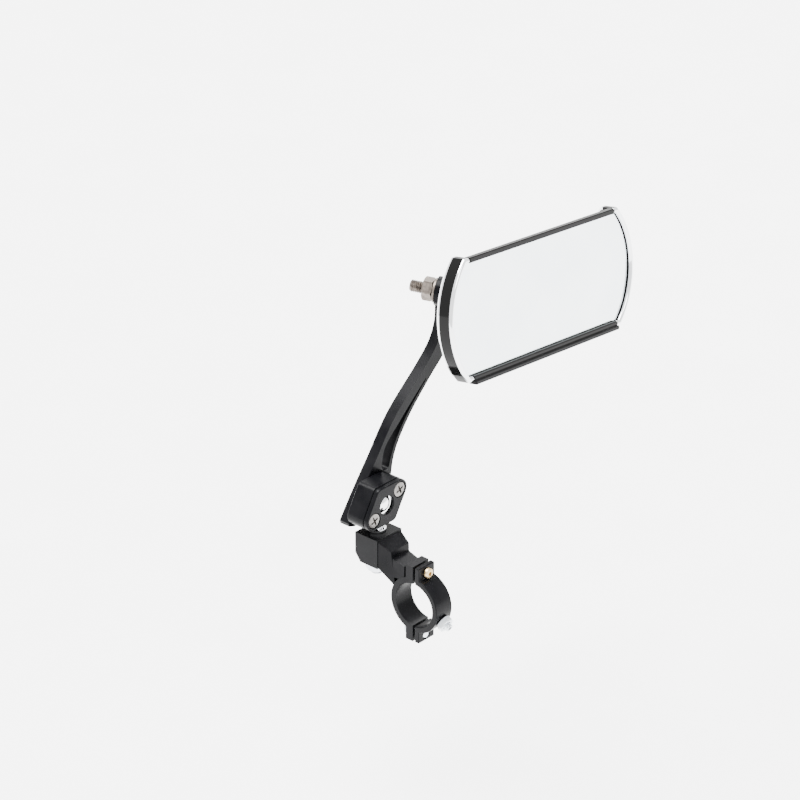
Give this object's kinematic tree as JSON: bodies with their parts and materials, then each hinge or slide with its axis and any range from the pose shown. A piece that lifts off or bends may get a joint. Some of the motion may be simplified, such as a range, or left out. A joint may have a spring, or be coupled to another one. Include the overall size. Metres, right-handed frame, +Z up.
{
  "type": "bicycle handlebar mirror",
  "caption": "Rectangular bar-clamp bicycle mirror with rounded chrome ends on an open flat arm, ball joints at both ends and a split clamp for the handlebar.",
  "frame": {"origin": "centre of the clamp's bore, on the handlebar's axis", "axes": "+X along the handlebar towards its right-hand end, +Y forward, +Z up"},
  "size_m": [0.1704, 0.0713, 0.1853],
  "materials": {
    "black_anodised": "satin black anodised",
    "black_gloss": "gloss black moulding",
    "brass": "plain turned",
    "zinc": "bright zinc plated",
    "steel": "plain steel, slightly brown",
    "chrome": "polished",
    "shell_metal": "satin",
    "lens_metal": "polished, faintly brushed",
    "seat_plastic": "natural",
    "backing_foam": "matt foam"
  },
  "bodies": {
    "base": {"base_block": "black_anodised", "stud_nut_lower": "zinc", "clamp_bolt_lower": "zinc"},
    "strap": {"clamp_strap": "black_anodised", "clamp_screw_top": "brass", "set_screw": "zinc", "set_nut": "zinc"},
    "lower_stud": {"lower_ball_stud": "chrome"},
    "arm": {"ball_housing": "black_anodised", "cover_plate": "black_anodised", "plate_screw_upper": "zinc", "plate_screw_lower": "zinc", "arm": "black_anodised", "stud_washer_upper": "steel", "stud_nut_upper": "steel"},
    "mirror_stud": {"mirror_ball_stud": "steel"},
    "seat": {"mirror_ball_seat": "seat_plastic"},
    "head": {"socket_cup": "black_gloss", "socket_cap": "black_gloss", "socket_screw_a": "zinc", "socket_screw_b": "zinc", "socket_screw_c": "zinc", "head_shell": "shell_metal", "lens_backing": "backing_foam", "lens": "lens_metal", "rail_top": "black_gloss", "rail_bottom": "black_gloss", "end_cap_inboard": "chrome", "end_cap_outboard": "chrome"}
  },
  "joints": [
    {"name": "clamp_open", "type": "slide", "parent": "base", "child": "strap", "axis": [0, -1, 0], "range_m": [0, 0.0025]},
    {"name": "arm_swivel", "type": "hinge", "parent": "base", "child": "lower_stud", "pos_m": [0, 0.028, 0.043], "axis": [0, 0, 1], "range_deg": [-180, 180]},
    {"name": "arm_swing", "type": "hinge", "parent": "lower_stud", "child": "arm", "pos_m": [0, 0.028, 0.043], "axis": [0, 1, 0], "range_deg": [-15, 55]},
    {"name": "mirror_roll", "type": "hinge", "parent": "arm", "child": "mirror_stud", "pos_m": [0.0641, 0.0239, 0.1264], "axis": [-0.4506, 0.8881, 0.0906], "range_deg": [-30, 30]},
    {"name": "mirror_tilt", "type": "hinge", "parent": "mirror_stud", "child": "seat", "pos_m": [0.0641, 0.0239, 0.1264], "axis": [0.9912, 0.0519, -0.1221], "range_deg": [-4, 20]},
    {"name": "mirror_pan", "type": "hinge", "parent": "seat", "child": "head", "pos_m": [0.0641, 0.0239, 0.1264], "axis": [0.1123, 0.162, 0.9804], "range_deg": [-8, 40]}
  ]
}
